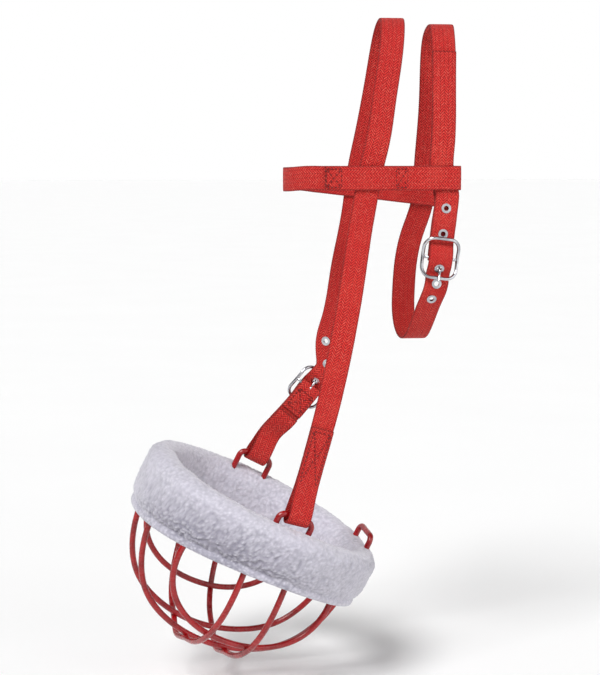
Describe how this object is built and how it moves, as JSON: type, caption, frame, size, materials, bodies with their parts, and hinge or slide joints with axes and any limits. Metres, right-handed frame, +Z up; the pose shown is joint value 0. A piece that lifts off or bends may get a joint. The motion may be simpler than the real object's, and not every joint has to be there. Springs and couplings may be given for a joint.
{
  "type": "basket muzzle",
  "caption": "Horse grazing muzzle: coated wire basket with a fleece-padded rim, hung from a buckled webbing headstall.",
  "frame": {"origin": "underside of the crown strap where it rests on the poll", "axes": "+Z up, +X towards the back of the head, -X towards the nose, -Y the horse's left side"},
  "size_m": [0.3408, 0.2528, 0.673],
  "materials": {
    "webbing": "woven matte",
    "thread": "waxed thread",
    "coated_wire": "glossy dip coating",
    "fleece": "short curly pile",
    "nickel": "polished nickel plate"
  },
  "bodies": {
    "headstall": {"crown_strap": "webbing", "far_cheek_strap": "webbing", "throatlatch_strap": "webbing", "cheek_eyelets": "nickel", "throat_eyelets": "nickel", "near_cheek_stitching": "thread", "far_cheek_stitching": "thread", "throatlatch_stitching": "thread"},
    "browband": {"browband_strip": "webbing", "browband_stitching": "thread"},
    "cheek_buckle": {"cheek_buckle_frame": "nickel"},
    "cheek_prong": {"cheek_buckle_prong": "nickel"},
    "throat_buckle": {"throat_buckle_frame": "nickel"},
    "throat_prong": {"throat_buckle_prong": "nickel"},
    "basket": {"rim_ring": "coated_wire", "near_outer_arc": "coated_wire", "near_inner_arc": "coated_wire", "far_inner_arc": "coated_wire", "far_outer_arc": "coated_wire", "front_cross_arc": "coated_wire", "rear_cross_arc": "coated_wire", "near_hoop": "coated_wire", "far_hoop": "coated_wire", "chin_hoop": "coated_wire", "fleece_cover": "fleece", "fleece_seam_stitching": "fleece"}
  },
  "joints": [
    {"name": "basket_swing", "type": "hinge", "parent": "headstall", "child": "basket", "pos_m": [-0.12081, -0.00009, -0.48775], "axis": [-0.1089, 0.9818, 0.1558], "range_deg": [-4.5, 4]},
    {"name": "browband_slide", "type": "slide", "parent": "headstall", "child": "browband", "axis": [0, 0, 1], "range_m": [-0.006, 0.006]},
    {"name": "cheek_buckle_tilt", "type": "hinge", "parent": "headstall", "child": "cheek_buckle", "pos_m": [-0.074, 0.084, -0.396], "axis": [-0.774, 0, 0.6332], "range_deg": [-1.5, 1.5]},
    {"name": "cheek_prong_lift", "type": "hinge", "parent": "cheek_buckle", "child": "cheek_prong", "pos_m": [-0.074, 0.084, -0.396], "axis": [-0.774, 0, 0.6332], "range_deg": [0, 4]},
    {"name": "throat_buckle_tilt", "type": "hinge", "parent": "headstall", "child": "throat_buckle", "pos_m": [0.0425, -0.0553, -0.245], "axis": [-0.9923, 0, 0.124], "range_deg": [-1.5, 1.5]},
    {"name": "throat_prong_lift", "type": "hinge", "parent": "throat_buckle", "child": "throat_prong", "pos_m": [0.0425, -0.0553, -0.245], "axis": [-0.9923, 0, 0.124], "range_deg": [0, 4]}
  ]
}
